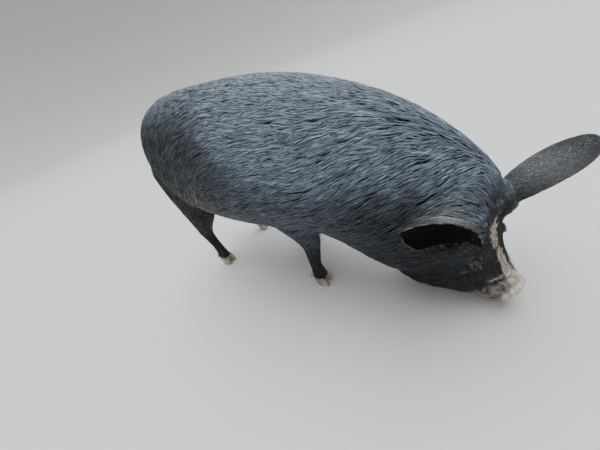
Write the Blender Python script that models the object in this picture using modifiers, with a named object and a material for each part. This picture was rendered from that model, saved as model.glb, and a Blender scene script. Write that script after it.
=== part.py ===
"""A small black farm pig walking with its head lowered, life size, as a still display model.

Metres. +X points towards the head, +Y to the pig's left and +Z up, and the origin lies on the floor
under the middle of the model. The flesh is lofted whole, fused and smoothed, then parted with thin
cuts into the body's named parts. Ears, eyes, tail and hooves are solids of their own, set in seats.
"""
import math

import bmesh
import bpy
from mathutils import Matrix, Vector

# ---- driving dimensions, measured from a point on the floor below the withers ----------------------
GAP = 0.0003                 # clearance between neighbouring solids
SEAT_CLEARANCE = 0.00045     # the same round a set-in part, whose faceted seat is a little tighter
FUSE_VOXEL = 0.006           # grid on which the lofts are fused into one flesh
SMOOTHING_ROUNDS = 16
FLESH_TRIANGLES = 4000       # triangles left in the fused flesh
BODY_SIDES = 32              # points round a section of the body or head
LEG_SIDES = 16
ROW_STEPS = 3                # sections made in each interval of a table

# Trunk and neck: x, y, z of the centre, half width, half height of the section, and its taper: how
# much narrower it is above than below.
BODY_STATIONS = (
    (-0.494, 0.014, 0.422, 0.030, 0.038, 0.00),
    (-0.483, 0.014, 0.416, 0.060, 0.074, 0.04),
    (-0.452, 0.014, 0.408, 0.093, 0.108, 0.08),
    (-0.396, 0.013, 0.401, 0.122, 0.134, 0.12),
    (-0.320, 0.010, 0.391, 0.149, 0.151, 0.12),
    (-0.200, 0.004, 0.375, 0.170, 0.160, 0.12),
    (-0.080, 0.000, 0.363, 0.177, 0.160, 0.12),
    (0.020, -0.004, 0.350, 0.171, 0.150, 0.12),
    (0.100, -0.010, 0.333, 0.158, 0.136, 0.14),
    (0.170, -0.016, 0.296, 0.142, 0.136, 0.18),
    (0.230, -0.020, 0.246, 0.128, 0.136, 0.24),
    (0.280, -0.022, 0.200, 0.114, 0.124, 0.26),
    (0.310, -0.024, 0.172, 0.092, 0.098, 0.20),
)
BODY_SQUARENESS = 2.1       # superellipse power of the sections, 2 is an ellipse

# Head, along its own axis back from the middle of the snout disc: station, top, bottom, half width.
SNOUT_CENTRE = Vector((0.413, -0.050, 0.037))
HEAD_SQUARENESS = 2.6
HEAD_TAPER = 0.06
HEAD_YAW = math.radians(-22.0)
HEAD_PITCH = math.radians(35.0)
HEAD_STATIONS = (
    (0.000, 0.033, -0.033, 0.034),
    (-0.010, 0.035, -0.037, 0.036),
    (-0.034, 0.034, -0.050, 0.043),
    (-0.062, 0.043, -0.074, 0.060),
    (-0.090, 0.060, -0.094, 0.078),
    (-0.118, 0.086, -0.107, 0.093),
    (-0.143, 0.112, -0.112, 0.104),
    (-0.180, 0.148, -0.114, 0.112),
    (-0.215, 0.162, -0.106, 0.108),
    (-0.245, 0.158, -0.084, 0.090),
    (-0.275, 0.140, -0.050, 0.066),
    (-0.295, 0.110, -0.010, 0.040),
)

# Each leg from the body down to the pastern: x, y, z, half width sideways, half width fore and aft.
LEGS = {
    "front_right": (
        (0.005, -0.092, 0.335, 0.064, 0.100),
        (0.012, -0.104, 0.268, 0.054, 0.070),
        (0.018, -0.103, 0.212, 0.036, 0.045),
        (0.016, -0.097, 0.160, 0.023, 0.028),
        (0.008, -0.093, 0.115, 0.019, 0.022),
        (0.000, -0.091, 0.070, 0.016, 0.018),
        (0.002, -0.090, 0.042, 0.019, 0.021),
        (0.004, -0.090, 0.018, 0.021, 0.023),
    ),
    "front_left": (
        (-0.010, 0.092, 0.335, 0.064, 0.100),
        (-0.028, 0.104, 0.268, 0.054, 0.070),
        (-0.050, 0.102, 0.212, 0.036, 0.045),
        (-0.070, 0.096, 0.160, 0.023, 0.028),
        (-0.090, 0.093, 0.115, 0.019, 0.022),
        (-0.106, 0.091, 0.070, 0.016, 0.018),
        (-0.106, 0.090, 0.042, 0.019, 0.021),
        (-0.102, 0.090, 0.018, 0.021, 0.023),
    ),
    "hind_right": (
        (-0.345, -0.062, 0.380, 0.070, 0.104),
        (-0.342, -0.082, 0.305, 0.058, 0.084),
        (-0.353, -0.094, 0.240, 0.040, 0.058),
        (-0.382, -0.094, 0.180, 0.026, 0.035),
        (-0.398, -0.092, 0.140, 0.019, 0.026),
        (-0.394, -0.090, 0.090, 0.016, 0.019),
        (-0.392, -0.090, 0.045, 0.018, 0.021),
        (-0.388, -0.090, 0.018, 0.020, 0.022),
    ),
    "hind_left": (
        (-0.355, 0.090, 0.380, 0.070, 0.110),
        (-0.350, 0.104, 0.305, 0.060, 0.090),
        (-0.352, 0.108, 0.240, 0.042, 0.062),
        (-0.372, 0.106, 0.180, 0.026, 0.036),
        (-0.378, 0.104, 0.140, 0.019, 0.026),
        (-0.368, 0.102, 0.090, 0.016, 0.019),
        (-0.358, 0.102, 0.045, 0.018, 0.021),
        (-0.350, 0.102, 0.018, 0.020, 0.022),
    ),
}

# Hooves.
CLAW_HEIGHT = 0.027
CLAW_LENGTH = 0.040
CLAW_WIDTH = 0.0215
CLAW_SPREAD = 0.0125         # from the foot's middle to each claw's middle
CLAW_FORWARD = 0.006         # claws stand this far ahead of the last leg station
CLAW_SIDES = 12
CLAW_TOE_NARROWING = 0.35
CLAW_LEAN = 0.2              # how much of the shift back also goes towards the foot's middle
# Rings of a claw from sole to top: share of the height, scale of the outline, shift ahead.
CLAW_RINGS = ((0.0, 1.0, 0.0), (0.12, 1.04, 0.0), (0.6, 0.92, -0.004), (1.0, 0.74, -0.008))
DEWCLAW_HEIGHT = 0.020
DEWCLAW_RADIUS = 0.0065
DEWCLAW_LIFT = 0.026
DEWCLAW_BACK = 0.020
DEWCLAW_SPREAD = 0.012
DEWCLAW_LEAN = 0.012         # its top stands this far ahead of its tip
DEWCLAW_SIDES = 6
DEWCLAW_RINGS = ((0.0, 0.6), (0.35, 1.0), (1.0, 0.8))    # share of the height, share of the radius

EYE_RADIUS = 0.0105
EYE_SEGMENTS = 10
EYE_RINGS = 6
EYE_STATION = -0.104         # along the head's axis
EYE_RISE = 0.0515
EYE_SIDE = 0.0545

EAR_WIDTH = 0.096
EAR_THICKNESS = 0.005
EAR_STATIONS = 9
EAR_POINTS = 7               # across the plate
EAR_ROOT_SHARE = 0.3         # share of the length over which the root is thickened
EAR_ROOT_FILL = 0.85         # share of the roll's radius that the root's thickness takes
EAR_TIP_WIDTH = 0.011
EAR_BOW = 0.012              # how far the middle line is bowed back
# Each ear's middle line from root over knee to tip, the way its hollow opens at its root and at its tip, its
# width at the root and what is added towards the tip, as shares of the ear's, the degrees that the plate
# is rolled through at its root and at its tip, and how late the tip rounds off.
EARS = {
    "right": (
        (Vector((0.323, -0.0985, 0.2425)), Vector((0.298, -0.147, 0.295)), Vector((0.237, -0.164, 0.284))),
        (Vector((-0.15, -1.0, -0.25)), Vector((0.445, -0.854, -0.20))),
        (0.85, 0.10),
        (210.0, 120.0),
        6.0,
    ),
    "left": (
        (Vector((0.372, 0.034, 0.214)), Vector((0.412, 0.070, 0.232)), Vector((0.500, 0.128, 0.270))),
        (Vector((0.28, 0.22, -0.90)), Vector((0.28, 0.22, -0.90))),
        (0.62, 0.66),
        (190.0, 75.0),
        3.0,
    ),
}
# The mounds of muscle under the ears: station along the head's axis, side and rise of each, and their size.
EAR_MOUNDS = ((-0.185, -0.062, 0.122), (-0.160, 0.063, 0.095))
EAR_MOUND_SIZE = (0.048, 0.036, 0.036)

TAIL_SIDES = 8
TAIL_STATIONS = (
    (-0.474, 0.000, 0.432, 0.011),
    (-0.502, -0.002, 0.436, 0.010),
    (-0.526, -0.010, 0.424, 0.009),
    (-0.533, -0.024, 0.400, 0.008),
    (-0.524, -0.036, 0.374, 0.007),
    (-0.510, -0.042, 0.352, 0.005),
)

# Cuts, as boxes: the part's name, the box's centre, its size and its turn about the Y axis in degrees.
LEG_CUTS = {
    "front_right": (("lower", (0.010, -0.100, 0.050), (0.110, 0.110, 0.130), 0.0),
                    ("upper", (0.008, -0.105, 0.115), (0.110, 0.150, 0.134), 0.0)),
    "front_left": (("lower", (-0.090, 0.100, 0.050), (0.130, 0.110, 0.130), 0.0),
                   ("upper", (-0.062, 0.105, 0.115), (0.130, 0.150, 0.134), 0.0)),
    "hind_right": (("lower", (-0.385, -0.100, 0.070), (0.140, 0.120, 0.180), 0.0),
                   ("upper", (-0.428, -0.114, 0.184), (0.240, 0.172, 0.200), 24.0)),
    "hind_left": (("lower", (-0.365, 0.110, 0.070), (0.140, 0.120, 0.180), 0.0),
                  ("upper", (-0.422, 0.124, 0.184), (0.240, 0.172, 0.200), 24.0)),
}
# Cuts of the head, on its own axes.
HEAD_CUTS = (
    ("snout", (0.020, 0.000, 0.000), (0.070, 0.140, 0.140)),
    ("lower_jaw", (-0.052, 0.000, -0.067), (0.074, 0.180, 0.100)),
    ("head", (-0.050, 0.000, 0.050), (0.310, 0.500, 0.500)),
)
NECK_CUT = ("neck", (0.430, 0.000, 0.300), (0.600, 0.600, 0.800), -14.0)

COLLECTION_NAME = "pig"
COAT_COLOUR = (0.020, 0.022, 0.027, 1.0)
PALE_COLOUR = (0.55, 0.46, 0.42, 1.0)
HOOF_COLOUR = (0.50, 0.44, 0.37, 1.0)
EYE_COLOUR = (0.020, 0.012, 0.008, 1.0)


def clear_scene():
    for existing in list(bpy.data.objects):
        bpy.data.objects.remove(existing)


def material(name, colour, roughness):
    made = bpy.data.materials.get(name) or bpy.data.materials.new(name)
    made.use_nodes = True
    shader = made.node_tree.nodes["Principled BSDF"]
    shader.inputs["Base Color"].default_value = colour
    shader.inputs["Roughness"].default_value = roughness
    shader.inputs["Metallic"].default_value = 0.0
    made.diffuse_color = colour
    return made


def smooth_rows(rows, steps):
    """Rows on a Catmull-Rom curve through the given rows, with this many steps in each interval."""
    padded = [rows[0], *rows, rows[-1]]
    result = []
    for index in range(1, len(padded) - 2):
        before, start, end, after = padded[index - 1:index + 3]
        for step in range(steps):
            t = step / steps
            row = []
            for a, b, c, d in zip(before, start, end, after):
                value = 2 * b + (c - a) * t + (2 * a - 5 * b + 4 * c - d) * t ** 2
                row.append(0.5 * (value + (3 * b - a - 3 * c + d) * t ** 3))
            result.append(tuple(row))
    result.append(tuple(rows[-1]))
    return result


def power(value, exponent):
    return math.copysign(abs(value) ** exponent, value)


def section(centre, side, up, half_width, top, bottom, sides, squareness=2.0, taper=0.0):
    """A closed ring of points, a superellipse with its own height above and below the centre.

    The taper makes it narrower above than below, as an egg stands on its blunt end.
    """
    ring = []
    for index in range(sides):
        angle = 2 * math.pi * index / sides
        sine = math.sin(angle)
        across = half_width * power(math.cos(angle), 2 / squareness) * (1 - taper * sine)
        rise = (top if sine > 0 else -bottom) * power(sine, 2 / squareness)
        ring.append(centre + side * across + up * rise)
    return ring


def loft(name, rings):
    """A closed solid through the rings, which all have as many points."""
    made = bmesh.new()
    loops = [[made.verts.new(point) for point in ring] for ring in rings]
    for first, second in zip(loops, loops[1:]):
        for index in range(len(first)):
            after = (index + 1) % len(first)
            made.faces.new((first[index], first[after], second[after], second[index]))
    made.faces.new(reversed(loops[0]))
    made.faces.new(loops[-1])
    bmesh.ops.recalc_face_normals(made, faces=made.faces)
    bmesh.ops.triangulate(made, faces=made.faces)
    mesh = bpy.data.meshes.new(name)
    made.to_mesh(mesh)
    made.free()
    return add_object(name, mesh)


def add_object(name, mesh):
    made = bpy.data.objects.new(name, mesh)
    bpy.context.scene.collection.objects.link(made)
    return made


def path_frames(centres, reference):
    """For each centre its sideways and upward directions, square to the path."""
    frames = []
    for index in range(len(centres)):
        ahead = centres[min(index + 1, len(centres) - 1)] - centres[max(index - 1, 0)]
        side = reference.cross(ahead).normalized()
        up = ahead.cross(side).normalized()
        frames.append((side, up))
    return frames


def build_body():
    rows = smooth_rows(BODY_STATIONS, ROW_STEPS)
    centres = [Vector(row[:3]) for row in rows]
    rings = []
    for row, centre, (side, up) in zip(rows, centres, path_frames(centres, Vector((0, 0, 1)))):
        ring = section(centre, side, up, row[3], row[4], -row[4], BODY_SIDES, BODY_SQUARENESS, row[5])
        rings.append(ring)
    return loft("body", rings)


def head_matrix():
    """From the head's own axes (x ahead, y left, z up) to the pig's."""
    turn = Matrix.Rotation(HEAD_YAW, 4, "Z") @ Matrix.Rotation(HEAD_PITCH, 4, "Y")
    return Matrix.Translation(SNOUT_CENTRE) @ turn


def build_head():
    side = Vector((0, 1, 0))
    up = Vector((0, 0, 1))
    rings = []
    for station, top, bottom, half_width in smooth_rows(HEAD_STATIONS, ROW_STEPS):
        centre = Vector((station, 0, 0))
        ring = section(centre, side, up, half_width, top, bottom, BODY_SIDES, HEAD_SQUARENESS, HEAD_TAPER)
        rings.append([head_matrix() @ point for point in ring])
    return loft("head_flesh", rings)


def build_ear_mound(place):
    made = bmesh.new()
    bmesh.ops.create_uvsphere(made, u_segments=LEG_SIDES, v_segments=LEG_SIDES // 2, radius=1.0)
    mesh = bpy.data.meshes.new("ear_mound")
    made.to_mesh(mesh)
    made.free()
    size = Matrix.Diagonal((*EAR_MOUND_SIZE, 1.0))
    mesh.transform(head_matrix() @ Matrix.Translation(place) @ size)
    return add_object("ear_mound", mesh)


def build_leg(name, stations):
    rows = smooth_rows(stations, ROW_STEPS)
    centres = [Vector(row[:3]) for row in rows]
    rings = []
    for row, centre, (side, up) in zip(rows, centres, path_frames(centres, Vector((1, 0, 0)))):
        rings.append(section(centre, side, up, row[3], row[4], -row[4], LEG_SIDES))
    return loft(name, rings)


def evaluated_copy(source, name):
    depsgraph = bpy.context.evaluated_depsgraph_get()
    mesh = bpy.data.meshes.new_from_object(source.evaluated_get(depsgraph))
    return add_object(name, mesh)


def replace_mesh(target):
    """Bake the object's modifiers into its mesh."""
    depsgraph = bpy.context.evaluated_depsgraph_get()
    mesh = bpy.data.meshes.new_from_object(target.evaluated_get(depsgraph))
    target.modifiers.clear()
    target.data = mesh


def fuse(pieces):
    """One smooth closed flesh from overlapping lofts."""
    made = bmesh.new()
    for piece in pieces:
        made.from_mesh(piece.data)
        bpy.data.objects.remove(piece)
    mesh = bpy.data.meshes.new("flesh")
    made.to_mesh(mesh)
    made.free()
    flesh = add_object("flesh", mesh)
    remesh = flesh.modifiers.new("fuse", "REMESH")
    remesh.mode = "VOXEL"
    remesh.voxel_size = FUSE_VOXEL
    smooth = flesh.modifiers.new("smooth", "SMOOTH")
    smooth.factor = 0.5
    smooth.iterations = SMOOTHING_ROUNDS
    replace_mesh(flesh)
    decimate = flesh.modifiers.new("thin out", "DECIMATE")
    decimate.ratio = FLESH_TRIANGLES / (2 * len(flesh.data.polygons))
    replace_mesh(flesh)
    return flesh


def boolean(target, cutter, operation):
    modifier = target.modifiers.new("cut", "BOOLEAN")
    modifier.operation = operation
    modifier.solver = "EXACT"
    modifier.object = cutter
    replace_mesh(target)


def seat(flesh, piece):
    """Cut the room that a set-in piece takes, with the clearance all round."""
    cutter = evaluated_copy(piece, "seat")
    for vertex in cutter.data.vertices:
        vertex.co += vertex.normal * SEAT_CLEARANCE
    boolean(flesh, cutter, "DIFFERENCE")
    bpy.data.objects.remove(cutter)


def part_off(flesh, name, centre, size, rotation=None):
    """Part the flesh inside a box into a node of its own, leaving the clearance at the cut."""
    node = evaluated_copy(flesh, name)
    for target, margin, operation in ((node, 0.0, "INTERSECT"), (flesh, GAP, "DIFFERENCE")):
        made = bmesh.new()
        bmesh.ops.create_cube(made, size=1.0)
        mesh = bpy.data.meshes.new("box")
        made.to_mesh(mesh)
        made.free()
        scale = Matrix.Diagonal((*[length + 2 * margin for length in size], 1.0))
        mesh.transform(Matrix.Translation(centre) @ (rotation or Matrix()) @ scale)
        cutter = add_object("box", mesh)
        boolean(target, cutter, operation)
        bpy.data.objects.remove(cutter)
    return node


def claw_ring(centre, height, length, width):
    """An outline round at the heel and narrower at the toe."""
    ring = []
    for index in range(CLAW_SIDES):
        angle = 2 * math.pi * index / CLAW_SIDES
        toe = 0.5 + 0.5 * math.cos(angle)
        across = 0.5 * width * math.sin(angle) * (1.0 - CLAW_TOE_NARROWING * toe)
        ring.append(centre + Vector((0.5 * length * math.cos(angle), across, height)))
    return ring


def build_claws(leg, foot):
    """The foot's two claws and, behind them, its two dewclaws."""
    made = []
    for side_name, side in (("inner", 1), ("outer", -1)):
        away = side if foot.y < 0 else -side
        centre = Vector((foot.x + CLAW_FORWARD, foot.y + away * CLAW_SPREAD, 0))
        rings = []
        for share, grow, shift in CLAW_RINGS:
            place = centre + Vector((shift, -away * shift * CLAW_LEAN, 0))
            rings.append(claw_ring(place, share * CLAW_HEIGHT, CLAW_LENGTH * grow, CLAW_WIDTH * grow))
        made.append(loft(f"claw_{leg}_{side_name}", rings))
        back = Vector((foot.x - DEWCLAW_BACK, foot.y + away * DEWCLAW_SPREAD, DEWCLAW_LIFT))
        rings = []
        for share, radius in DEWCLAW_RINGS:
            point = back + Vector((DEWCLAW_LEAN * (share - 0.5), 0, DEWCLAW_HEIGHT * share))
            size = DEWCLAW_RADIUS * radius
            side, up = Vector((0, 1, 0)), Vector((-1, 0, 0))
            rings.append(section(point, side, up, size, size, -size, DEWCLAW_SIDES))
        made.append(loft(f"dewclaw_{leg}_{side_name}", rings))
    return made


def build_ear(name, path, openings, widths, curls, bluntness):
    """A cupped plate, rolled at the root and flatter towards the round tip."""
    root, knee, tip = path
    rings = []
    for station in range(EAR_STATIONS):
        share = math.sin(0.5 * math.pi * station / (EAR_STATIONS - 1))
        middle = root.lerp(knee, share).lerp(knee.lerp(tip, share), share)
        along = (knee - root).lerp(tip - knee, share).normalized()
        across = along.cross(openings[0].lerp(openings[1], share)).normalized()
        outward = across.cross(along).normalized()
        widening = widths[0] + widths[1] * share ** 0.7
        width = EAR_WIDTH * widening * max(1 - share ** bluntness, 0.0) ** 0.5 + EAR_TIP_WIDTH
        curl = math.radians(curls[0] + (curls[1] - curls[0]) * share)
        radius = width / curl
        rooted = max(1 - share / EAR_ROOT_SHARE, 0.0)
        thickness = EAR_THICKNESS + (EAR_ROOT_FILL * radius - EAR_THICKNESS) * rooted
        middle = middle - outward * EAR_BOW * math.sin(math.pi * share)
        rings.append(ear_ring(middle, across, outward, radius, curl, thickness))
    return loft(name, rings)


def ear_ring(middle, across, outward, radius, curl, thickness):
    """A crescent: the back of the plate one way, its hollow side back again."""
    ring = []
    across_plate = range(EAR_POINTS)
    for shell, order in ((radius, across_plate), (radius - thickness, reversed(across_plate))):
        for index in order:
            angle = curl * (index / (EAR_POINTS - 1) - 0.5)
            offset = across * math.sin(angle) * shell - outward * (math.cos(angle) * shell - radius)
            ring.append(middle + offset)
    return ring


def build_tail():
    rows = smooth_rows(TAIL_STATIONS, 2)
    centres = [Vector(row[:3]) for row in rows]
    rings = []
    for row, centre, (side, up) in zip(rows, centres, path_frames(centres, Vector((0, 1, 0)))):
        rings.append(section(centre, side, up, row[3], row[3], -row[3], TAIL_SIDES))
    return loft("tail", rings)


def build_eye(name, side):
    made = bmesh.new()
    bmesh.ops.create_uvsphere(made, u_segments=EYE_SEGMENTS, v_segments=EYE_RINGS, radius=EYE_RADIUS)
    mesh = bpy.data.meshes.new(name)
    made.to_mesh(mesh)
    made.free()
    mesh.transform(head_matrix() @ Matrix.Translation((EYE_STATION, side * EYE_SIDE, EYE_RISE)))
    return add_object(name, mesh)


def set_in_parts():
    """The solids that sit in seats in the flesh, with the material of each."""
    made = {}
    for leg, stations in LEGS.items():
        for claw in build_claws(leg, Vector(stations[-1][:3])):
            made[claw] = "hoof"
    for side, ear in EARS.items():
        made[build_ear(f"ear_{side}", *ear)] = "coat"
    made[build_tail()] = "coat"
    for name, side in (("eye_right", -1), ("eye_left", 1)):
        made[build_eye(name, side)] = "eye"
    return made


def part_flesh(flesh):
    """Part the fused flesh into the body's named parts."""
    made = {}
    for leg, cuts in LEG_CUTS.items():
        for part, centre, size, turn in cuts:
            rotation = Matrix.Rotation(math.radians(turn), 4, "Y")
            made[part_off(flesh, f"leg_{leg}_{part}", centre, size, rotation)] = "coat"
    for name, centre, size in HEAD_CUTS:
        place = head_matrix() @ Vector(centre)
        rotation = head_matrix().to_3x3().to_4x4()
        made[part_off(flesh, name, place, size, rotation)] = "pale" if name == "snout" else "coat"
    name, centre, size, turn = NECK_CUT
    made[part_off(flesh, name, centre, size, Matrix.Rotation(math.radians(turn), 4, "Y"))] = "coat"
    flesh.name = "trunk"
    made[flesh] = "coat"
    return made


def centre_on_floor(objects):
    """Bring the origin to the floor under the middle of the model."""
    points = [vertex.co for made in objects for vertex in made.data.vertices]
    low = Vector([min(point[axis] for point in points) for axis in range(3)])
    high = Vector([max(point[axis] for point in points) for axis in range(3)])
    middle = (low + high) / 2
    for made in objects:
        made.data.transform(Matrix.Translation((-middle.x, -middle.y, -low.z)))


def main():
    clear_scene()
    pieces = [build_body(), build_head()]
    pieces += [build_ear_mound(place) for place in EAR_MOUNDS]
    pieces += [build_leg(name, stations) for name, stations in LEGS.items()]
    flesh = fuse(pieces)
    parts = set_in_parts()
    for piece in parts:
        seat(flesh, piece)
    parts.update(part_flesh(flesh))
    centre_on_floor(parts)
    materials = {
        "coat": material("coat", COAT_COLOUR, 0.6),
        "pale": material("pale_skin", PALE_COLOUR, 0.5),
        "hoof": material("hoof", HOOF_COLOUR, 0.5),
        "eye": material("eye", EYE_COLOUR, 0.1),
    }
    collection = bpy.data.collections.new(COLLECTION_NAME)
    bpy.context.scene.collection.children.link(collection)
    for made, slot in parts.items():
        made.data.materials.clear()
        made.data.materials.append(materials[slot])
        bpy.context.scene.collection.objects.unlink(made)
        collection.objects.link(made)


main()
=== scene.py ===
"""The looks of a small black long-haired pig, a still life-size model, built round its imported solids.

One skin replaces the nodes of flesh and lies inside them by the coat's depth. The coat is solid tufts that
follow the lie of the hair. Eyes and hooves are separate pieces in their seats.
"""
import math

import bmesh
import bpy
import numpy as np
from mathutils import Matrix, Vector, noise
from mathutils.bvhtree import BVHTree
from mathutils.kdtree import KDTree


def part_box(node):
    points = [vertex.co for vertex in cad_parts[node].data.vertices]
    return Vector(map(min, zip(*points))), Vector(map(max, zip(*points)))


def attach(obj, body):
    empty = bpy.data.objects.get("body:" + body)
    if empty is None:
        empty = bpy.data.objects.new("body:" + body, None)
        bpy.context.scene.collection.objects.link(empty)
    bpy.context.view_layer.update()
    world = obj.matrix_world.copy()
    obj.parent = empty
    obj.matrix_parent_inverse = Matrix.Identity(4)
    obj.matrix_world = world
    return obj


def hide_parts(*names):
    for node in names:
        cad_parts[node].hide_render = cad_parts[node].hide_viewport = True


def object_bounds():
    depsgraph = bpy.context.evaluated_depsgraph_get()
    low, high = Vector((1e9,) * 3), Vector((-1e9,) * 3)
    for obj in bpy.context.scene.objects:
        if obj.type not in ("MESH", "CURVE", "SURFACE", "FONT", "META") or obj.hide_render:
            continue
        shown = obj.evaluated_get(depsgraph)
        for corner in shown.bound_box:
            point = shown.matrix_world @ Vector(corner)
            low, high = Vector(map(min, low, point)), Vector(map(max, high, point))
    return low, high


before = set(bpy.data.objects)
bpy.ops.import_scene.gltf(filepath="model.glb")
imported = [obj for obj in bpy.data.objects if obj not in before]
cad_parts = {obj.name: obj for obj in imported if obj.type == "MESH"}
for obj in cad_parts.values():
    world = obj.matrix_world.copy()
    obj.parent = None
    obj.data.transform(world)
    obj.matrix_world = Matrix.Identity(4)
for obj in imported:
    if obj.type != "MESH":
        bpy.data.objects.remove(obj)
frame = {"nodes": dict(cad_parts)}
cad_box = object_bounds()
NODES = frame["nodes"]

# ---- the head's own axes, and places on it ----
HEAD_YAW = math.radians(-22.0)
HEAD_PITCH = math.radians(35.0)
EYE_STATION = -0.104  # the eyes' place from the middle of the snout disc, along the head's axis
EYE_RISE = 0.0515
EYE_RADIUS = 0.0102
SOCKET_RADIUS = 0.0080
LID_LENGTH = 0.0088  # half the length and half the height of the opening between the lids
LID_HEIGHT = 0.0032
LID_THICKNESS = 0.0017
BARE_LIDS = 2.1  # no hair grows up to here from the opening's middle, where its edge is 1
FAR_OFF = 9.0  # stands for places away from the eyes
# The two wrinkles that lean over each eye, each from its top to its foot: along the lids and up across them.
WRINKLES = np.array((((0.0045, 0.0080), (0.0115, -0.0070)), ((-0.0015, 0.0065), (-0.0090, -0.0035))))
NOSTRIL_SIDE = 0.0112  # the nostrils' distance from the middle of the disc, to each side and up
NOSTRIL_RISE = 0.0005
NOSTRIL_HALVES = (0.0056, 0.0072)
NOSTRIL_DEPTH = 0.0090

# ---- skin ----
WELD = 1e-6  # corners nearer than this are joined
SKIN_VOXEL = 0.0027
SKIN_OVERLAP = 0.0006  # the solids are grown by this to close the thin cuts between them
BODY_TRIANGLES = 80000  # left of the skin on the body, which the coat hides
SKIN_TRIANGLES = 188000  # the most that the finished skin has
EAR_REACH = 0.0025  # skin this near an ear's solid is the ear's
FACE_BACK = -0.165  # the face is refined from this station forwards

# Coat of each region: depth of the skin below the solids, tuft length, tuft width, tufts per square cm.
COAT = {
    "trunk": (0.0080, 0.042, 0.0025, 6.6),
    "neck": (0.0080, 0.042, 0.0025, 6.6),
    "head": (0.0022, 0.010, 0.0010, 22.0),
    "snout": (0.0006, 0.004, 0.0007, 0.0),
    "ear": (0.0012, 0.006, 0.0008, 26.0),
    "tail": (0.0030, 0.026, 0.0016, 16.0),
    "thigh": (0.0050, 0.024, 0.0020, 8.0),
    "shank": (0.0022, 0.011, 0.0011, 17.0),
}
REGIONS = list(COAT)
# The region of a node whose name has one of these parts; the first one found counts.
PARTS = (("jaw", "head"), ("eye", "head"), ("ear", "ear"),
         ("upper", "thigh"), ("lower", "shank"), ("claw", "shank"))
LONG_RINGS = 3  # rings of a long tuft before its tip
SHORT_RINGS = 2
LONG_FROM = 0.018  # tufts longer than this are made as long ones
PIECE_TRIANGLES = 190000  # the most that one coat piece has
PATCH = 0.003  # side of a tuft's patch in the coat's map
UNWRAP_RATIO = 0.04  # share of the skin's faces kept for its unwrap
LOCK_SPACING = 0.016  # between the guides that tufts gather towards
LOCK_TURN = 0.10  # how far a guide strays to one side, and how far each tuft strays from its guide
TUFT_STRAY = 0.07
RIDGE = 0.30  # height of a tuft's ridge over its width
# Along a tuft, from 0 at its root to 1 at its tip: its height over the skin as a share of the coat's depth,
# its width as a share of the full one, and its brightness, darker at the root as painted shade under the
# coat.
RISE_PLACES, RISE_SHARES = (0, 0.22, 0.5, 0.8, 1.0), (-0.12, 0.70, 0.92, 1.0, 0.94)
TAPER_PLACES, TAPER_SHARES = (0, 0.25, 0.6, 0.85), (0.55, 1.0, 0.85, 0.5)
SHADE_PLACES, SHADES = (0, 0.4, 1), (0.75, 1, 1.1)
LASHES = 22
LASH_WIDTH = 0.0006
BOX_GAP = 0.0002  # tufts stay this far inside the solids' box
SQUARE_CM_IN_METRE = 1e4

# Where the ears and the tail run: root and tip of the right ear and the left, and the tail's middle line.
EAR_AXES = np.array((((0.339, -0.097, 0.243), (0.253, -0.162, 0.284)),
                     ((0.388, 0.036, 0.214), (0.516, 0.130, 0.270))))
EAR_OPENINGS = np.array(((0.35, -0.90, -0.22), (0.28, 0.22, -0.90)))
TAIL_PATH = np.array(((-0.458, 0.002, 0.432), (-0.486, 0.000, 0.436), (-0.510, -0.008, 0.424),
                      (-0.517, -0.022, 0.400), (-0.508, -0.034, 0.374), (-0.494, -0.040, 0.352)))
LEG_REACH = (0.07, 0.06)  # a leg's points are this near its middle
# How high each foot is pale.
PALE_FEET = {"front_right": 0.020, "front_left": 0.026, "hind_right": 0.030, "hind_left": 0.055}

# ---- hooves, stage and camera ----
HOOF_VOXEL = 0.0014
RING_SPACING = 0.0042  # between the growth rings of the horn
FLOOR_RADIUS = 8.0  # the flat part
FLOOR_SIDES = 96
WALL_CURVE = 4.0
WALL_HEIGHT = 10.0
CAMERA_PLACE = (0.31762, -0.43342, 0.55)
CAMERA_TURN = (51.317, 18.096, 27.049)
CAMERA_LENS = 14.46

# ---- colours ----
BLACK_HAIR = np.array((0.008, 0.009, 0.011))
PAINTED_SHEEN_HAIR = np.array((0.098, 0.119, 0.147))  # painted bluish sheen of the light from above on the black hair of the back, shoulders and upper flanks
BROWN_HAIR = np.array((0.034, 0.027, 0.022))
# grey of the lashes, and the painted grey sheen of the ears' backs and of the hair over the ears' roots
GREY_HAIR_AND_SHEEN = np.array((0.210, 0.210, 0.208))
PALE_HAIR = np.array((0.60, 0.52, 0.41))
BLACK_SKIN = np.array((0.024, 0.023, 0.024))
MUZZLE_SKIN = np.array((0.112, 0.097, 0.080))
PALE_SKIN = np.array((0.46, 0.385, 0.305))
EAR_RIM = np.array((0.23, 0.175, 0.155))
WRINKLE_SKIN = np.array((0.090, 0.076, 0.064))
MOTTLE = (0.022, 5.0)  # lump size and offset of the noise over the skin
IRIS_BROWN = np.array((0.030, 0.016, 0.009))
PUPIL_BLACK = (0.002, 0.002, 0.002)
EYE_WHITE = np.array((0.17, 0.12, 0.10))
IRIS_RADIUS = 0.62  # as a share of the ball's radius, like the pupil's half length and half height
PUPIL_HALVES = (0.34, 0.24)
PALE_HORN = np.array((0.50, 0.40, 0.30))
DARK_HORN = np.array((0.10, 0.075, 0.055))

rng = np.random.default_rng(921)


# ---- small helpers ----
def ramp(low, high, value):
    """0 at low, 1 at high, and a smooth rise between them; low may be the greater."""
    t = np.clip((value - low) / (high - low), 0.0, 1.0)
    return t * t * (3 - 2 * t)


def bump(value, centre, width):
    return np.exp(-((value - centre) / width) ** 2)


def unit(vectors):
    return vectors / np.maximum(np.linalg.norm(vectors, axis=-1, keepdims=True), 1e-9)


def dots(first, second):
    return np.sum(first * second, axis=-1)


def mix(tones, colour, share):
    return tones + (colour - tones) * share[:, None]


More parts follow.
